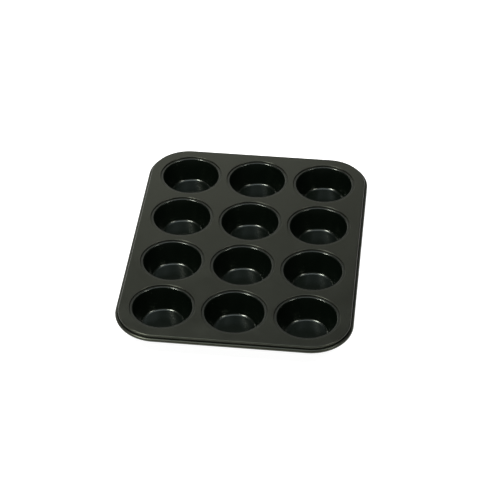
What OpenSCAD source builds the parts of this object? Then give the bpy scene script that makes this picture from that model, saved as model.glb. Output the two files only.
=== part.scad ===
// Muffin tin: a pressed steel top sheet with a wired rolled edge, and separately drawn
// cups whose flanges lie in stepped-down seats round its holes.
// Origin: centre of the plane that the cup bases stand on. +Z up, +Y along the length
// to the back, +X to the right. Row 1 is at the front.

/* [Top sheet] */
// Overall width, over the rolled edge
tin_w = 270; // [256:1:300]
// Overall length, over the rolled edge
tin_l = 353; // [340:1:400]
// Height from the undersides of the cups to the top of the sheet
tin_h = 27; // [20:0.5:45]
// Radius of the corners, over the rolled edge
corner_r = 49; // [20:1:60]
// Thickness of the sheet
sheet_t = 0.6; // [0.4:0.05:0.7]

/* [Rolled edge] */
// Height of the upright skirt, between its top bend and the curl
skirt_h = 4.2; // [1:0.1:6]
// Inside radius of the bend from the flat sheet into the skirt
skirt_bend_r = 0.6; // [0.3:0.1:1.5]
// Diameter of the wire inside the curl
wire_d = 2.8; // [1.5:0.1:3.5]
// How far the curl wraps round the wire, in degrees
curl_angle = 305; // [240:5:310]

/* [Seats] */
// Drop from the top of the sheet to the ledge that a flange lies on
seat_drop = 1.75; // [1.3:0.05:2.5]
// Width of a cup's flat flange
flange_w = 2.1; // [1:0.1:2.4]
// Length of the collar turned down beside the cup's wall
collar_len = 3; // [1:0.5:6]

/* [Cups] */
// Distance between the centres of neighbouring cups
cup_pitch = 82; // [80:0.5:84]
// Inside diameter of a cup at the foot of its lip
mouth_d = 67.5; // [60:0.5:68.5]
// Lean of a cup's wall from upright, in degrees
cup_taper = 20.5; // [10:0.5:25]
// Inside radius between a cup's wall and its base
base_fillet = 3; // [1:0.5:6]
// Thickness of a cup
cup_t = 0.5; // [0.4:0.05:0.6]

/* [Hidden] */
$fn = 96;
rows = 4;
sides = ["left", "centre", "right"];
function cup_name(row, col) = str("cup_row", row, "_", sides[col - 1]);

sheet_colour = [0.21, 0.22, 0.19];
cup_colour = [0.11, 0.12, 0.11];
wire_colour = [0.45, 0.45, 0.43];

// Inside radius of the two bends of a seat's step
seat_bend_r = 0.2;
// Radius of the underside of a cup's lip, where its wall turns out into the flange
lip_r = 0.7;
// Running gaps: collar to cup wall, and wire to curl
collar_gap = 0.06;
wire_gap = 0.05;
// Angle between the points of a bend, at most
bend_step = 15;
// The curl's first half, so that its outermost point is one of the outline's
half_turn = 180;
// Width of flat sheet that a seat shares with the sheet round it
seat_lap = 0.5;
// Extra reach of a cutter past the face that it goes through
past = 1;

// A wall turns through this angle from the flat base, and again into the flange
wall_turn = 90 - cup_taper;
flange_z = tin_h - seat_drop;
lip_centre_r = mouth_d / 2 + (lip_r + cup_t) * cos(cup_taper);
turn_r = base_fillet + cup_t + lip_r;
wall_len = (flange_z - turn_r * (1 - cos(wall_turn))) / sin(wall_turn);
base_r = lip_centre_r - turn_r * sin(wall_turn) - wall_len * cos(wall_turn);

seat_r = lip_centre_r + flange_w + seat_bend_r;
hole_r = seat_r + seat_bend_r + sheet_t;
step_h = seat_drop - sheet_t - 2 * seat_bend_r;

curl_r = wire_d / 2 + wire_gap;
bead_r = curl_r + sheet_t;
bend_start = corner_r - skirt_bend_r - 2 * bead_r;
wire_z = tin_h - sheet_t - skirt_bend_r - skirt_h;

// ---- bent sheet, drawn edge on -----------------------------------------------------
// Sheet is a list of stretches, from the origin along +X with its lower face on Y = 0:
// [length, 0] is straight, and [inside radius, angle] bends, upwards where angle > 0.

function normal(heading) = [-sin(heading), cos(heading)];

// Points [place, heading] along the lower face
function lower_face(stretches, t, place = [0, 0], heading = 0, i = 0) =
    i == len(stretches) ? [[place, heading]] :
    let (size = stretches[i][0], turn = stretches[i][1])
    turn == 0
        ? concat(
            [[place, heading]],
            lower_face(stretches, t, place + size * [cos(heading), sin(heading)], heading, i + 1)
        )
        : let (
            reach = turn > 0 ? size + t : -size,
            centre = place + reach * normal(heading),
            steps = ceil(abs(turn) / bend_step)
        )
        concat(
            [for (k = [0:steps - 1]) let (at = heading + turn * k / steps)
                [centre - reach * normal(at), at]],
            lower_face(stretches, t, centre - reach * normal(heading + turn), heading + turn, i + 1)
        );

module bent_sheet(stretches, t) {
    lower = lower_face(stretches, t);
    upper = [for (point = lower) point[0] + t * normal(point[1])];
    polygon(concat(
        [for (point = lower) point[0]],
        [for (i = [len(upper) - 1:-1:0]) upper[i]]
    ));
}

// ---- sections ----------------------------------------------------------------------

// Flat sheet, skirt and the curl round the wire, out from a corner's centre
module rim_section() {
    translate([0, tin_h - sheet_t]) bent_sheet([
        [bend_start, 0],
        [skirt_bend_r, -90],
        [skirt_h, 0],
        [curl_r, half_turn],
        [curl_r, curl_angle - half_turn]
    ], sheet_t);
}

// Edge of a hole, step down, ledge and collar, in towards the hole's axis
module seat_section() {
    translate([hole_r + seat_lap, tin_h - sheet_t]) mirror([1, 0]) bent_sheet([
        [seat_lap, 0],
        [seat_bend_r, -90],
        [step_h, 0],
        [seat_bend_r, 90],
        [flange_w - collar_gap, 0],
        [lip_r - sheet_t, -wall_turn],
        [collar_len, 0]
    ], sheet_t);
}

// Base, wall, lip and flange, out from the cup's axis
module cup_section() {
    bent_sheet([
        [base_r, 0],
        [base_fillet, wall_turn],
        [wall_len, 0],
        [lip_r, -wall_turn],
        [flange_w, 0]
    ], cup_t);
}

// ---- placing -----------------------------------------------------------------------

// Takes a section round a rectangle with round corners, out from the corner's centre
module round_rectangle(w, l, r) {
    for (side = [0:3]) {
        across = side % 2 == 0 ? w : l;
        along = side % 2 == 0 ? l : w;
        rotate(90 * side) translate([across / 2 - r, along / 2 - r, 0]) {
            rotate_extrude(angle = 90) children();
            rotate([90, 0, 0]) linear_extrude(along - 2 * r) children();
        }
    }
}

module at_cup(row, col) {
    translate([
        (col - (len(sides) + 1) / 2) * cup_pitch,
        (row - (rows + 1) / 2) * cup_pitch,
        0
    ]) children();
}

module at_every_cup() {
    for (row = [1:rows], col = [1:len(sides)]) at_cup(row, col) children();
}

// ---- parts -------------------------------------------------------------------------

module top_sheet() {
    color(sheet_colour) {
        difference() {
            union() {
                round_rectangle(tin_w, tin_l, corner_r) rim_section();
                translate([corner_r - tin_w / 2, corner_r - tin_l / 2, tin_h - sheet_t])
                    cube([tin_w - 2 * corner_r, tin_l - 2 * corner_r, sheet_t]);
            }
            at_every_cup() translate([0, 0, tin_h - sheet_t - past])
                cylinder(r = hole_r, h = sheet_t + 2 * past);
        }
        at_every_cup() rotate_extrude() seat_section();
    }
}

module cup() {
    color(cup_colour) rotate_extrude() cup_section();
}

module rim_wire() {
    color(wire_colour)
        round_rectangle(tin_w, tin_l, corner_r)
            translate([corner_r - bead_r, wire_z]) circle(d = wire_d);
}

top_sheet();
for (row = [1:rows], col = [1:len(sides)])
    at_cup(row, col) cup();
rim_wire();
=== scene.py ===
import math

import bmesh
import bpy
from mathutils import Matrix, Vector


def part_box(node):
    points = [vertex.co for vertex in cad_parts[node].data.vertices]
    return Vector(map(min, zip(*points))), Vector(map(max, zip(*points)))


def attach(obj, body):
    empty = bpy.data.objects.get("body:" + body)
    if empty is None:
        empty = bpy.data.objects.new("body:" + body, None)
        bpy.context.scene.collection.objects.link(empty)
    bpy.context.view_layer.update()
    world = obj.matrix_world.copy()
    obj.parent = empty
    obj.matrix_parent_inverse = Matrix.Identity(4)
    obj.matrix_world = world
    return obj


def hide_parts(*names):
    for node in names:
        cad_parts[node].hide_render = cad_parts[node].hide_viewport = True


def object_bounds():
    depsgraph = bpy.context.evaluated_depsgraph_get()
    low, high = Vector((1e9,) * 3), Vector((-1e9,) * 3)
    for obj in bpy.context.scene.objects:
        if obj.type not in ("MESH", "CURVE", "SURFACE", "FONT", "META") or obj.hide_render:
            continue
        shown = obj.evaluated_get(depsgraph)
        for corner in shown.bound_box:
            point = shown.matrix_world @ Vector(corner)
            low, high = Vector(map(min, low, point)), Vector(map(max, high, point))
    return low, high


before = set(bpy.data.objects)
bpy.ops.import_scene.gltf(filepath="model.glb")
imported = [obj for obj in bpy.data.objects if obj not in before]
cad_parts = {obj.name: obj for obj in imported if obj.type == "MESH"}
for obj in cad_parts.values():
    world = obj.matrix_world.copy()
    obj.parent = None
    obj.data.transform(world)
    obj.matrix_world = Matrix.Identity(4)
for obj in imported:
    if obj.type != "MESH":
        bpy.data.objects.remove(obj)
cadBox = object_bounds()
mm = 0.001
degree = math.radians(1)
white = (1.0, 1.0, 1.0, 1.0)

# the steel as it is cut and bent, the same for every cup and seat
steel = {
    "sheetThick": 0.6 * mm,
    "cupThick": 0.5 * mm,
    "seatDrop": 1.75 * mm,  # top of the sheet to the ledge
    "seatBend": 0.2 * mm,  # inside radius of both bends of the step
    "collarLong": 3.0 * mm,
    "collarGap": 0.06 * mm,  # collar to cup wall
    "mouthRadius": 33.75 * mm,  # inside the cup, at the foot of its lip
    "lipRadius": 0.7 * mm,  # underside of the lip
    "flangeWide": 2.1 * mm,
    "wallLean": 20.5 * degree,
    "baseFillet": 3.0 * mm,
    "cornerRadius": 49.0 * mm,  # over the rolled edge
    "skirtBend": 0.6 * mm,
    "skirtHigh": 4.2 * mm,
    "wireRadius": 1.4 * mm,
    "curlRadius": 1.45 * mm,
    "curlTurn": 305 * degree,
}

placeDigits = 5  # decimals of a metre, so that the cups of one row share one place


def middleOf(node):
    low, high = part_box(node)
    return (low + high) / 2


cupNames = sorted(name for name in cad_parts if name.startswith("cup_row"))
cupCentres = {name: middleOf(name) for name in cupNames}
columnPlaces = sorted({round(centre.x, placeDigits) for centre in cupCentres.values()})
rowPlaces = sorted({round(centre.y, placeDigits) for centre in cupCentres.values()})
pitch = columnPlaces[1] - columnPlaces[0]

sheetTop = cadBox[1].z
flangeUnder = sheetTop - steel["seatDrop"]
wallTurn = 90 * degree - steel["wallLean"]
lipCentre = steel["mouthRadius"] + (steel["lipRadius"] + steel["cupThick"]) * math.cos(steel["wallLean"])
seatRadius = lipCentre + steel["flangeWide"] + steel["seatBend"]
holeRadius = seatRadius + steel["seatBend"] + steel["sheetThick"]
beadRadius = steel["curlRadius"] + steel["sheetThick"]
rimReach = steel["skirtBend"] + 2 * beadRadius  # last flat sheet to the outside of the bead
wireHeight = sheetTop - steel["sheetThick"] - steel["skirtBend"] - steel["skirtHigh"]

flats = {
    "supportStep": 0.3 * mm,  # strip kept beside each bend, so the flats stay flat in the light
    "supportedFrom": 0.9 * mm,  # a shorter flat is one plain stretch
}


# Upper face of bent sheet seen edge on. A stretch is (length, 0), or (inside radius, turn)
# where it bends, upwards for a positive turn.
def bentSection(start, stretches, thickness, bendStep):
    across, height = start
    heading = 0.0
    points = [start]
    for size, turn in stretches:
        if turn == 0:
            stops = [size]
            if size > flats["supportedFrom"]:
                stops = [flats["supportStep"], size - flats["supportStep"], size]
            stretch = [
                (across + stop * math.cos(heading), height + stop * math.sin(heading))
                for stop in stops
            ]
        else:
            reach = size if turn > 0 else -(size + thickness)
            middle = (across - reach * math.sin(heading), height + reach * math.cos(heading))
            steps = math.ceil(abs(turn) / bendStep)
            headings = [heading + turn * i / steps for i in range(1, steps + 1)]
            stretch = [
                (middle[0] + reach * math.sin(aim), middle[1] - reach * math.cos(aim))
                for aim in headings
            ]
            heading += turn
        points += stretch
        across, height = points[-1]
    return points


# a node's output, with maths on it written as plain expressions
class Wire:
    def __init__(self, graph, socket):
        self.graph = graph
        self.socket = socket

    def maths(self, operation, first, second):
        return self.graph.add("ShaderNodeMath", {"operation": operation}, {0: first, 1: second}).out(0)

    def __add__(self, other):
        return self.maths("ADD", self, other)

    def __radd__(self, other):
        return self.maths("ADD", other, self)

    def __sub__(self, other):
        return self.maths("SUBTRACT", self, other)

    def __rsub__(self, other):
        return self.maths("SUBTRACT", other, self)

    def __mul__(self, other):
        return self.maths("MULTIPLY", self, other)

    def __rmul__(self, other):
        return self.maths("MULTIPLY", other, self)

    def __truediv__(self, other):
        return self.maths("DIVIDE", self, other)

    def __rtruediv__(self, other):
        return self.maths("DIVIDE", other, self)


class PlacedNode:
    def __init__(self, graph, node):
        self.graph = graph
        self.node = node

    def out(self, which):
        return Wire(self.graph, self.node.outputs[which])


class Graph:
    def __init__(self, tree):
        self.tree = tree

    def add(self, kind, settings=None, sockets=None):
        node = self.tree.nodes.new(kind)
        for name, value in (settings or {}).items():
            setattr(node, name, value)
        for name, value in (sockets or {}).items():
            socket = node.inputs[name]
            if isinstance(value, Wire):
                self.tree.links.new(value.socket, socket)
            else:
                socket.default_value = value
        return PlacedNode(self, node)

    def objectPlace(self):
        return self.add("ShaderNodeTexCoord").out("Object")

    def noise(self, place, pattern):
        return self.add("ShaderNodeTexNoise", {}, {
            "Vector": place,
            "Scale": 1 / pattern["size"],
            "Detail": pattern["detail"],
            "Roughness": pattern["roughness"],
        }).out(0)

    def smoothStep(self, value, low, high):
        return self.add("ShaderNodeMapRange", {"interpolation_type": "SMOOTHSTEP"}, {
            "Value": value,
            "From Min": low,
            "From Max": high,
        }).out(0)

    def mixed(self, factor, first, second):
        return self.add("ShaderNodeMix", {"data_type": "RGBA"}, {0: factor, 6: first, 7: second}).out(2)


sheetCoat = {
    "colour": (0.0022, 0.0024, 0.0015, 1.0),
    "paleColour": (0.0050, 0.0054, 0.0036, 1.0),
    "roughness": 0.35,
    "roughSpread": 0.11,
    "peelHeight": 0.010 * mm,
    "tint": (0.92, 1.0, 0.78, 1.0),
}
# the cups' colours are darker than the sheet's: painted shade for the deep cup hollows; roughness, tint
# and peel are the coat's own
cupCoatAndShade = {
    "colour": (0.0008, 0.0019, 0.0010, 1.0),
    "paleColour": (0.0018, 0.0032, 0.0022, 1.0),
    "roughness": 0.20,
    "roughSpread": 0.07,
    "peelHeight": 0.008 * mm,
    "tint": (0.92, 1.0, 0.88, 1.0),
}
# marks of spraying and baking, the same in both coats
coatMarks = {
    "cloud": {"size": 38 * mm, "detail": 4.0, "roughness": 0.6},
    "grain": {"size": 0.22 * mm, "detail": 2.0, "roughness": 0.6},
    "peel": {"size": 0.7 * mm, "detail": 1.0, "roughness": 0.4},
    "fleckRange": (0.60, 0.76),  # grain where a pale fleck starts, and where it is at its palest
    "fleckShare": 0.75,  # of the pale colour, in a fleck
    "cloudShare": 0.5,  # of the pale colour, from the darkest cloud to the palest
    "grainRelief": 0.35,  # height of the grain, beside the orange peel's
    "reliefStrength": 0.5,
}
# the cup's darker colour, painted shade for its hollow, gives way to the sheet's coat just under the top
# of its flat flange
flangeCoat = {
    "below": 0.02 * mm,
    "blend": 0.08 * mm,
}
bareWire = {
    "colour": (0.40, 0.39, 0.37, 1.0),
    "dullColour": (0.24, 0.23, 0.21, 1.0),
    "roughness": 0.34,
    "roughSpread": 0.2,
    "drawMarks": {"size": 0.4 * mm, "detail": 4.0, "roughness": 0.6},
    "markHeight": 0.01 * mm,
    "markStrength": 0.3,
}
meanNoise = 0.5


def newMaterial(name):
    material = bpy.data.materials.new(name)
    material.use_nodes = True
    material.node_tree.nodes.clear()
    return material, Graph(material.node_tree)


def coatedSteel(name, coat, upperCoat=None):
    material, graph = newMaterial(name)
    place = graph.objectPlace()
    cloud = graph.noise(place, coatMarks["cloud"])
    grain = graph.noise(place, coatMarks["grain"])
    peel = graph.noise(place, coatMarks["peel"])
    flecks = graph.smoothStep(grain, *coatMarks["fleckRange"])
    paleness = flecks * coatMarks["fleckShare"] + (cloud - meanNoise) * coatMarks["cloudShare"]
    colour = graph.mixed(paleness, coat["colour"], coat["paleColour"])
    cloudGloss = (cloud - meanNoise) * (2 * coat["roughSpread"])
    roughness = cloudGloss + (grain - meanNoise) * coat["roughSpread"] + coat["roughness"]
    # on the flange top the upper coat's colour and roughness take over; below it the given colour stays,
    # which for the cups is painted shade
    if upperCoat:
        height = graph.add("ShaderNodeSeparateXYZ", {}, {0: place}).out(2)
        upperFrom = flangeUnder + steel["cupThick"] - flangeCoat["below"]
        onFlange = graph.smoothStep(height, upperFrom - flangeCoat["blend"], upperFrom)
        upperColour = graph.mixed(paleness, upperCoat["colour"], upperCoat["paleColour"])
        colour = graph.mixed(onFlange, colour, upperColour)
        roughness = roughness + onFlange * (upperCoat["roughness"] - coat["roughness"])
    relief = graph.add("ShaderNodeBump", {}, {
        "Height": peel + grain * coatMarks["grainRelief"],
        "Strength": coatMarks["reliefStrength"],
        "Distance": coat["peelHeight"],
    }).out(0)
    shader = graph.add("ShaderNodeBsdfPrincipled", {}, {
        "Base Color": colour,
        "Roughness": roughness,
        "Specular Tint": coat["tint"],
        "Normal": relief,
    }).out(0)
    graph.add("ShaderNodeOutputMaterial", {}, {"Surface": shader})
    return material


def drawnWire(name, look):
    material, graph = newMaterial(name)
    marks = graph.noise(graph.objectPlace(), look["drawMarks"])
    relief = graph.add("ShaderNodeBump", {}, {
        "Height": marks,
        "Strength": look["markStrength"],
        "Distance": look["markHeight"],
    }).out(0)
    shader = graph.add("ShaderNodeBsdfPrincipled", {}, {
        "Base Color": graph.mixed(marks, look["dullColour"], look["colour"]),
        "Metallic": 1.0,
        "Roughness": (marks - meanNoise) * look["roughSpread"] + look["roughness"],
        "Normal": relief,
    }).out(0)
    graph.add("ShaderNodeOutputMaterial", {}, {"Surface": shader})
    return material


sheetMaterial = coatedSteel("sheetCoating", sheetCoat)
# the cups' material paints shade into its darker colour
cupMaterialAndShade = coatedSteel("shadedCupCoating", cupCoatAndShade, sheetCoat)
wireMaterial = drawnWire("drawnSteelWire", bareWire)
print("materials ready")

turning = {
    "radius": 10 * mm,  # of the circle that carries a section round
    "poleWeld": 0.001 * mm,  # closes a section that starts on its axis
    "indexNudge": 0.01,  # keeps rounding from moving a copy into the row before its own
}


def newGeometryGroup(name, inputs):
    tree = bpy.data.node_groups.new(name, "GeometryNodeTree")
    tree.interface.new_socket("Geometry", in_out="INPUT", socket_type="NodeSocketGeometry")
    for label, kind in inputs.items():
        tree.interface.new_socket(label, in_out="INPUT", socket_type=kind)
    tree.interface.new_socket("Geometry", in_out="OUTPUT", socket_type="NodeSocketGeometry")
    graph = Graph(tree)
    return tree, graph, graph.add("NodeGroupInput")


def sectionAlong(graph, given, path):
    upright = graph.add("GeometryNodeSetCurveNormal", {"mode": "Z_UP"}, {"Curve": path}).out(0)
    return graph.add("GeometryNodeCurveToMesh", {}, {
        "Curve": upright,
        "Profile Curve": given.out("Geometry"),
    }).out(0)


def closeGroup(graph, given, geometry):
    painted = graph.add("GeometryNodeSetMaterial", {}, {
        "Geometry": geometry,
        "Material": given.out("Material"),
    }).out(0)
    graph.add("NodeGroupOutput", {}, {"Geometry": painted})


# a section turned round upright axes, at every place of a grid
def turnedGroup():
    tree, graph, given = newGeometryGroup("turnedRound", {
        "Steps": "NodeSocketInt",
        "Turning Radius": "NodeSocketFloat",
        "First Centre": "NodeSocketVector",
        "Columns": "NodeSocketInt",
        "Rows": "NodeSocketInt",
        "Pitch": "NodeSocketFloat",
        "Material": "NodeSocketMaterial",
    })
    circle = graph.add("GeometryNodeCurvePrimitiveCircle", {}, {
        "Resolution": given.out("Steps"),
        "Radius": given.out("Turning Radius"),
    }).out(0)
    turned = sectionAlong(graph, given, circle)
    columns = given.out("Columns")
    index = graph.add("GeometryNodeInputIndex").out(0)
    column = graph.add("ShaderNodeMath", {"operation": "FLOORED_MODULO"}, {0: index, 1: columns}).out(0)
    rowsPassed = (index + turning["indexNudge"]) / columns
    row = graph.add("ShaderNodeMath", {"operation": "FLOOR"}, {0: rowsPassed}).out(0)
    step = graph.add("ShaderNodeCombineXYZ", {}, {
        0: column * given.out("Pitch"),
        1: row * given.out("Pitch"),
    }).out(0)
    place = graph.add("ShaderNodeVectorMath", {"operation": "ADD"}, {
        0: given.out("First Centre"),
        1: step,
    }).out(0)
    centres = graph.add("GeometryNodePoints", {}, {
        "Count": columns * given.out("Rows"),
        "Position": place,
    }).out(0)
    copies = graph.add("GeometryNodeInstanceOnPoints", {}, {"Points": centres, "Instance": turned}).out(0)
    real = graph.add("GeometryNodeRealizeInstances", {}, {"Geometry": copies}).out(0)
    welded = graph.add("GeometryNodeMergeByDistance", {}, {
        "Geometry": real,
        "Distance": turning["poleWeld"],
    }).out(0)
    closeGroup(graph, given, welded)
    return tree


# a section taken along a closed path
def sweptGroup():
    tree, graph, given = newGeometryGroup("sweptAlong", {
        "Path": "NodeSocketObject",
        "Material": "NodeSocketMaterial",
    })
    path = graph.add("GeometryNodeObjectInfo", {}, {"Object": given.out("Path")}).out("Geometry")
    swept = sectionAlong(graph, given, path)
    real = graph.add("GeometryNodeRealizeInstances", {}, {"Geometry": swept}).out(0)
    closeGroup(graph, given, real)
    return tree


turnedRound = turnedGroup()
sweptAlong = sweptGroup()


def polyCurve(name, points, closed):
    curve = bpy.data.curves.new(name, "CURVE")
    curve.dimensions = "3D"
    spline = curve.splines.new("POLY")
    spline.points.add(len(points) - 1)
    for point, (x, y, z) in zip(spline.points, points):
        point.co = (x, y, z, 1.0)
    spline.use_cyclic_u = closed
    holder = bpy.data.objects.new(name, curve)
    bpy.context.scene.collection.objects.link(holder)
    return holder


# Runs a node group on a section and bakes the result. The section is given as
# (distance out, height), and lies in the profile's plane with its heights downwards.
def madeByGroup(name, section, tree, values, closed=False):
    profile = [(across, -height, 0) for across, height in section]
    source = polyCurve(name + "Section", profile, closed)
    modifier = source.modifiers.new("made", "NODES")
    modifier.node_group = tree
    sockets = {item.name: item.identifier for item in tree.interface.items_tree if item.in_out == "INPUT"}
    for label, value in values.items():
        modifier[sockets[label]] = value
    depsgraph = bpy.context.evaluated_depsgraph_get()
    mesh = bpy.data.meshes.new_from_object(source.evaluated_get(depsgraph))
    source.modifiers.remove(modifier)
    bpy.data.objects.remove(source)
    mesh.name = name
    return mesh


def turnedMesh(name, section, steps, firstCentre, columns, rows, material):
    fromCircle = [(across - turning["radius"], height) for across, height in section]
    return madeByGroup(name, fromCircle, turnedRound, {
        "Steps": steps,
        "Turning Radius": turning["radius"],
        "First Centre": (*firstCentre, 0.0),
        "Columns": columns,
        "Rows": rows,
        "Pitch": pitch,
        "Material": material,
    })


def sweptMesh(name, section, path, material, closed=False):
    return madeByGroup(name, section, sweptAlong, {"Path": path, "Material": material}, closed)


sharpFrom = 50 * degree  # angle between two faces that shows as an edge


def finishedPiece(name, mesh, material, thickness=0.0):
    piece = bpy.data.objects.new(name, mesh)
    bpy.context.scene.collection.objects.link(piece)
    mesh.materials.clear()
    mesh.materials.append(material)
    if thickness:
        solid = piece.modifiers.new("thickness", "SOLIDIFY")
        solid.thickness = thickness
        solid.offset = -1
        solid.use_even_offset = True
        depsgraph = bpy.context.evaluated_depsgraph_get()
        piece.data = bpy.data.meshes.new_from_object(piece.evaluated_get(depsgraph))
        piece.modifiers.remove(solid)
        bpy.data.meshes.remove(mesh)
        piece.data.name = name
    piece.data.shade_smooth()
    piece.data.set_sharp_from_angle(angle=sharpFrom)
    return piece


def standInFor(piece, node):
    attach(piece, "root")
    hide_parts(node)


cup = {
    "around": 128,
    "bendStep": 8 * degree,
}


def cupSection():
    turns = steel["baseFillet"] + steel["cupThick"] + steel["lipRadius"]
    rise = flangeUnder - turns * (1 - math.cos(wallTurn))
    wallLong = rise / math.sin(wallTurn)
    baseRadius = lipCentre - turns * math.sin(wallTurn) - wallLong * math.cos(wallTurn)
    return bentSection((0.0, steel["cupThick"]), [
        (baseRadius, 0),
        (steel["baseFillet"], wallTurn),
        (wallLong, 0),
        (steel["lipRadius"], -wallTurn),
        (steel["flangeWide"], 0),
    ], steel["cupThick"], cup["bendStep"])


def makeCups():
    section = cupSection()
    for name, centre in cupCentres.items():
        mesh = turnedMesh(name, section, cup["around"], centre.xy, 1, 1, cupMaterialAndShade)
        pieceName = name.replace("cup_", "drawn_cup_")
        piece = finishedPiece(pieceName, mesh, cupMaterialAndShade, steel["cupThick"])
        standInFor(piece, name)
    print("cups made:", len(cupNames))


sheet = {
    "perSide": 22,  # points along each side of a cup's patch, four sides round a hole
    "rings": (0.33, 0.66),  # how far out the patch's inner rings lie
    "seatBendStep": 15 * degree,
    "curlBendStep": 11 * degree,
    "weld": 0.02 * mm,  # joins the flat patches, the seats and the rolled edge
    "touching": 0.001 * mm,  # a point this near to a line is on it
    "pathStep": 0.01 * mm,  # points of the edge that are nearer than this are one
}
flatHalf = Vector((cadBox[1].x - rimReach, cadBox[1].y - rimReach))
flatCorner = steel["cornerRadius"] - rimReach
cornerPivot = Vector((flatHalf.x - flatCorner, flatHalf.y - flatCorner))
fourCorners = ((1, -1), (1, 1), (-1, 1), (-1, -1))
parallel = 1e-9  # a direction with less than this along an axis never gets across it


def aimed(angle):
    return Vector((math.cos(angle), math.sin(angle)))


# distance from a cup's centre to the edge of its patch: a neighbour's patch or the sheet's bend
def reachToEdge(centre, angle):
    direction = aimed(angle)
    reach = math.inf
    for axis, places in ((0, columnPlaces), (1, rowPlaces)):
        if abs(direction[axis]) < parallel:
            continue
        side = 1 if direction[axis] > 0 else -1
        last = places[-1] if side > 0 else places[0]
        hasNeighbour = abs(centre[axis] - last) > pitch / 2
        edge = centre[axis] + side * pitch / 2 if hasNeighbour else side * flatHalf[axis]
        reach = min(reach, (edge - centre[axis]) / direction[axis])
    end = centre + direction * reach
    pivot = Vector((math.copysign(cornerPivot.x, end.x), math.copysign(cornerPivot.y, end.y)))
    if abs(end.x) > abs(pivot.x) and abs(end.y) > abs(pivot.y):
        away = centre - pivot
        along = away.dot(direction)
        reach = -along + math.sqrt(along * along - away.dot(away) + flatCorner * flatCorner)
    return reach


# directions from a cup's centre to the four corners of its patch, and to the first one again
def cornerAngles(centre):
    angles = []
    for sideX, sideY in fourCorners:
        outerX = sideX * centre.x > columnPlaces[-1] - pitch / 2
        outerY = sideY * centre.y > rowPlaces[-1] - pitch / 2
        x = sideX * flatHalf.x - centre.x if outerX else sideX * pitch / 2
        y = sideY * flatHalf.y - centre.y if outerY else sideY * pitch / 2
        if outerX and outerY:
            inset = flatCorner * (1 - math.sqrt(0.5))
            x -= sideX * inset
            y -= sideY * inset
        angles.append(math.atan2(y, x))
    angles = [angle + 2 * math.pi if angle < angles[0] else angle for angle in angles]
    return angles + [angles[0] + 2 * math.pi]


def onSheetEdge(point):
    size = Vector((abs(point.x), abs(point.y)))
    near = sheet["touching"]
    onStraight = size.x > flatHalf.x - near or size.y > flatHalf.y - near
    fromPivot = size - cornerPivot
    onArc = min(fromPivot) > -near and abs(fromPivot.length - flatCorner) < near
    return onStraight or onArc


# the flat web, one patch round each hole, and the places along its outer edge
def makeWeb():
    builder = bmesh.new()
    outline = []
    count = 4 * sheet["perSide"]
    for centre in [Vector((x, y)) for x in columnPlaces for y in rowPlaces]:
        corners = cornerAngles(centre)
        spokes = []
        for k in range(count):
            side, step = divmod(k, sheet["perSide"])
            aim = corners[side] + (corners[side + 1] - corners[side]) * step / sheet["perSide"]
            edge = centre + aimed(aim) * reachToEdge(centre, aim)
            outward = aimed(-45 * degree + 2 * math.pi * k / count)
            start = centre + outward * holeRadius
            near = start + outward * flats["supportStep"]
            last = edge + (near - edge).normalized() * flats["supportStep"]
            stops = [start, near, *(near.lerp(last, part) for part in sheet["rings"]), last, edge]
            spokes.append([builder.verts.new((stop.x, stop.y, sheetTop)) for stop in stops])
            if onSheetEdge(edge):
                outline.append((edge.x, edge.y, sheetTop))
        for k in range(count):
            here, after = spokes[k], spokes[(k + 1) % count]
            for j in range(len(here) - 1):
                builder.faces.new((here[j], here[j + 1], after[j + 1], after[j]))
    outline = sorted(outline, key=lambda point: math.atan2(point[1], point[0]))
    path = [
        point for i, point in enumerate(outline)
        if math.dist(point, outline[i - 1]) > sheet["pathStep"]
    ]
    return builder, path


def seatSection():
    inwards = bentSection((0.0, sheetTop), [
        (steel["seatBend"], -90 * degree),
        (steel["seatDrop"] - steel["sheetThick"] - 2 * steel["seatBend"], 0),
        (steel["seatBend"], 90 * degree),
        (steel["flangeWide"] - steel["collarGap"], 0),
        (steel["lipRadius"] - steel["sheetThick"], -wallTurn),
        (steel["collarLong"], 0),
    ], steel["sheetThick"], sheet["seatBendStep"])
    return [(holeRadius - across, height) for across, height in reversed(inwards)]


def rimSection():
    return bentSection((0.0, 0.0), [
        (steel["skirtBend"], -90 * degree),
        (steel["skirtHigh"], 0),
        (steel["curlRadius"], steel["curlTurn"]),
    ], steel["sheetThick"], sheet["curlBendStep"])


def makeTopSheet():
    builder, path = makeWeb()
    bendPath = polyCurve("bendPath", path, closed=True)
    firstCentre = (columnPlaces[0], rowPlaces[0])
    seats = turnedMesh("seats", seatSection(), 4 * sheet["perSide"],
        firstCentre, len(columnPlaces), len(rowPlaces), sheetMaterial)
    rim = sweptMesh("rolledEdge", rimSection(), bendPath, sheetMaterial)
    builder.from_mesh(seats)
    builder.from_mesh(rim)
    bmesh.ops.remove_doubles(builder, verts=builder.verts, dist=sheet["weld"])
    mesh = bpy.data.meshes.new("pressedSheet")
    builder.to_mesh(mesh)
    builder.free()
    piece = finishedPiece("pressed_sheet", mesh, sheetMaterial, steel["sheetThick"])
    standInFor(piece, "top_sheet")
    print("top sheet made, faces:", len(piece.data.polygons))
    return bendPath


edgeWire = {"sides": 20}


def makeWire(bendPath):
    across = steel["skirtBend"] + beadRadius
    height = wireHeight - sheetTop
    radius = steel["wireRadius"]
    turns = [2 * math.pi * i / edgeWire["sides"] for i in reversed(range(edgeWire["sides"]))]
    ring = [(across + radius * math.cos(turn), height + radius * math.sin(turn)) for turn in turns]
    mesh = sweptMesh("edgeWire", ring, bendPath, wireMaterial, closed=True)
    piece = finishedPiece("edge_wire", mesh, wireMaterial)
    standInFor(piece, "rim_wire")
    print("wire made")


makeCups()
rimPath = makeTopSheet()
makeWire(rimPath)
bpy.data.objects.remove(rimPath)

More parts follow.
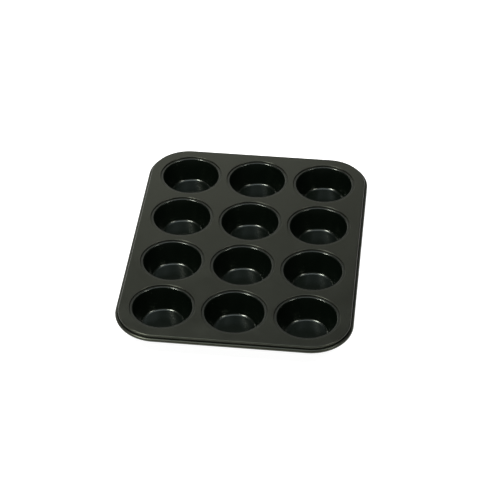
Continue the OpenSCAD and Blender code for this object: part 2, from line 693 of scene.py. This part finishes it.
studio = {
    "floorWide": 6.0,
    "floorDrop": 0.02 * mm,  # just clear of the cups' bases
    "floorColour": (0.60, 0.60, 0.60, 1.0),
    "floorRoughness": 0.9,
    "floorGlow": 0.96,
    "skyStrength": 0.08,
    # size, place, strength in watts, colour; all aim at the middle of the tin
    "lamps": {
        "backSoftbox": ((2.8, 0.95), (-1.0, 2.0, 1.08), 12.5, (1.0, 1.0, 0.92)),
        "highSoftbox": ((0.9, 1.0), (0.0, 0.23, 1.55), 8.0, (0.82, 0.88, 1.0)),
        "leftSoftbox": ((0.43, 0.43), (-0.90, -0.60, 1.85), 54.0, (1.0, 0.98, 0.95)),
        "rightSoftbox": ((0.45, 0.45), (1.20, -0.36, 1.70), 15.0, (1.0, 0.98, 0.95)),
    },
}
viewpoint = {
    "azimuth": 6.20 * degree,
    "elevation": 39.60 * degree,
    "distance": 2.1517,
    "across": 4.2 * mm,
    "upward": -8.9 * mm,
    "lens": 131.64,
}
middleOfTop = Vector((0, 0, sheetTop))


def makeFloor():
    half = studio["floorWide"] / 2
    corners = [(half * sideX, half * sideY, -studio["floorDrop"]) for sideX, sideY in fourCorners]
    mesh = bpy.data.meshes.new("floor")
    mesh.from_pydata(corners, [], [(0, 1, 2, 3)])
    floor = bpy.data.objects.new("floor", mesh)
    bpy.context.scene.collection.objects.link(floor)
    material, graph = newMaterial("paleFloor")
    shader = graph.add("ShaderNodeBsdfPrincipled", {}, {
        "Base Color": studio["floorColour"],
        "Roughness": studio["floorRoughness"],
        "Specular IOR Level": 0.0,
        "Emission Color": white,
        "Emission Strength": studio["floorGlow"],
    }).out(0)
    graph.add("ShaderNodeOutputMaterial", {}, {"Surface": shader})
    mesh.materials.append(material)


def makeLamps():
    for name, (size, place, watts, colour) in studio["lamps"].items():
        light = bpy.data.lights.new(name, "AREA")
        light.shape = "RECTANGLE"
        light.size, light.size_y = size
        light.energy = watts
        light.color = colour
        lamp = bpy.data.objects.new(name, light)
        lamp.location = place
        lamp.rotation_euler = (middleOfTop - Vector(place)).to_track_quat("-Z", "Y").to_euler()
        bpy.context.scene.collection.objects.link(lamp)
    world = bpy.data.worlds.new("studioAir")
    world.use_nodes = True
    background = world.node_tree.nodes["Background"]
    background.inputs["Color"].default_value = white
    background.inputs["Strength"].default_value = studio["skyStrength"]
    bpy.context.scene.world = world


def makeCamera():
    azimuth, elevation = viewpoint["azimuth"], viewpoint["elevation"]
    level = math.cos(elevation)
    back = Vector((math.sin(azimuth) * level, -math.cos(azimuth) * level, math.sin(elevation)))
    right = Vector((math.cos(azimuth), math.sin(azimuth), 0))
    upward = back.cross(right)
    lens = bpy.data.cameras.new("camera")
    lens.lens = viewpoint["lens"]
    camera = bpy.data.objects.new("camera", lens)
    camera.location = (middleOfTop + back * viewpoint["distance"]
        + right * viewpoint["across"] + upward * viewpoint["upward"])
    camera.rotation_euler = back.to_track_quat("Z", "Y").to_euler()
    bpy.context.scene.collection.objects.link(camera)
    bpy.context.scene.camera = camera
    bpy.context.scene.view_settings.view_transform = "Standard"


makeFloor()
makeLamps()
makeCamera()
print("stage ready")
